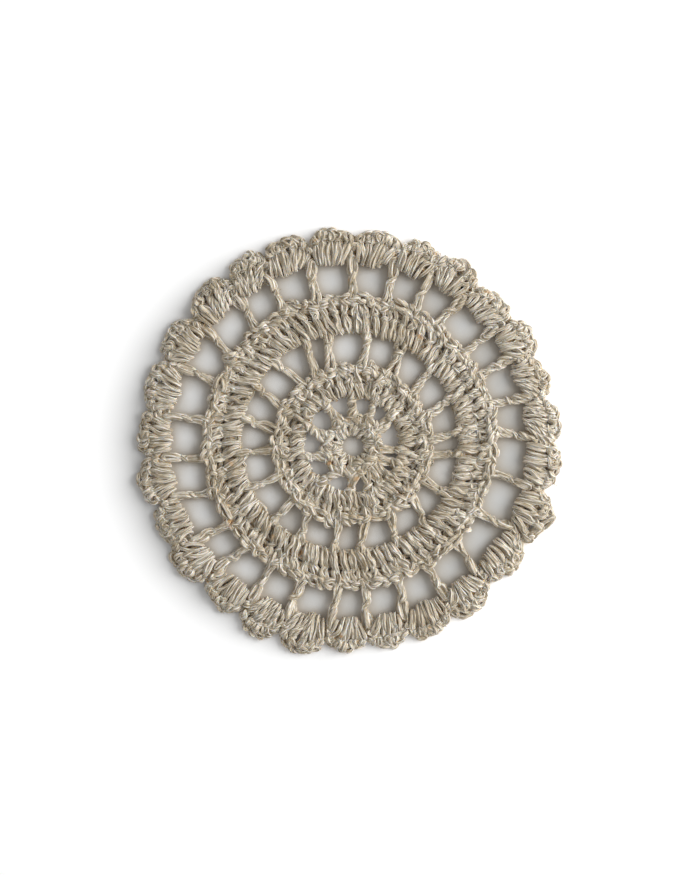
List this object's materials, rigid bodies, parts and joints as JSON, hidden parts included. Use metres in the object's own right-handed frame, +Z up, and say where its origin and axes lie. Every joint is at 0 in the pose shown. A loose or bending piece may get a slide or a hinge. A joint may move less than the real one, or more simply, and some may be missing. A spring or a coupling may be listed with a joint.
{
  "type": "crochet coaster",
  "caption": "Round openwork crochet coaster: dense stitch rounds joined by lone bridging stitches, with a scalloped shell border. Lies flat under a cup or glass.",
  "frame": {"origin": "on the underside, at the middle of the outline's bounding box", "axes": "+Z up from the table through the coaster, +Y towards the top of the picture, +X to its right"},
  "size_m": [0.1194, 0.1202, 0.003],
  "materials": {
    "linen": "natural unbleached linen yarn, matt with a slight lustre on the strands, a few rust-coloured flecks"
  },
  "bodies": {
    "root": {"crochet_coaster": "linen"}
  },
  "joints": []
}
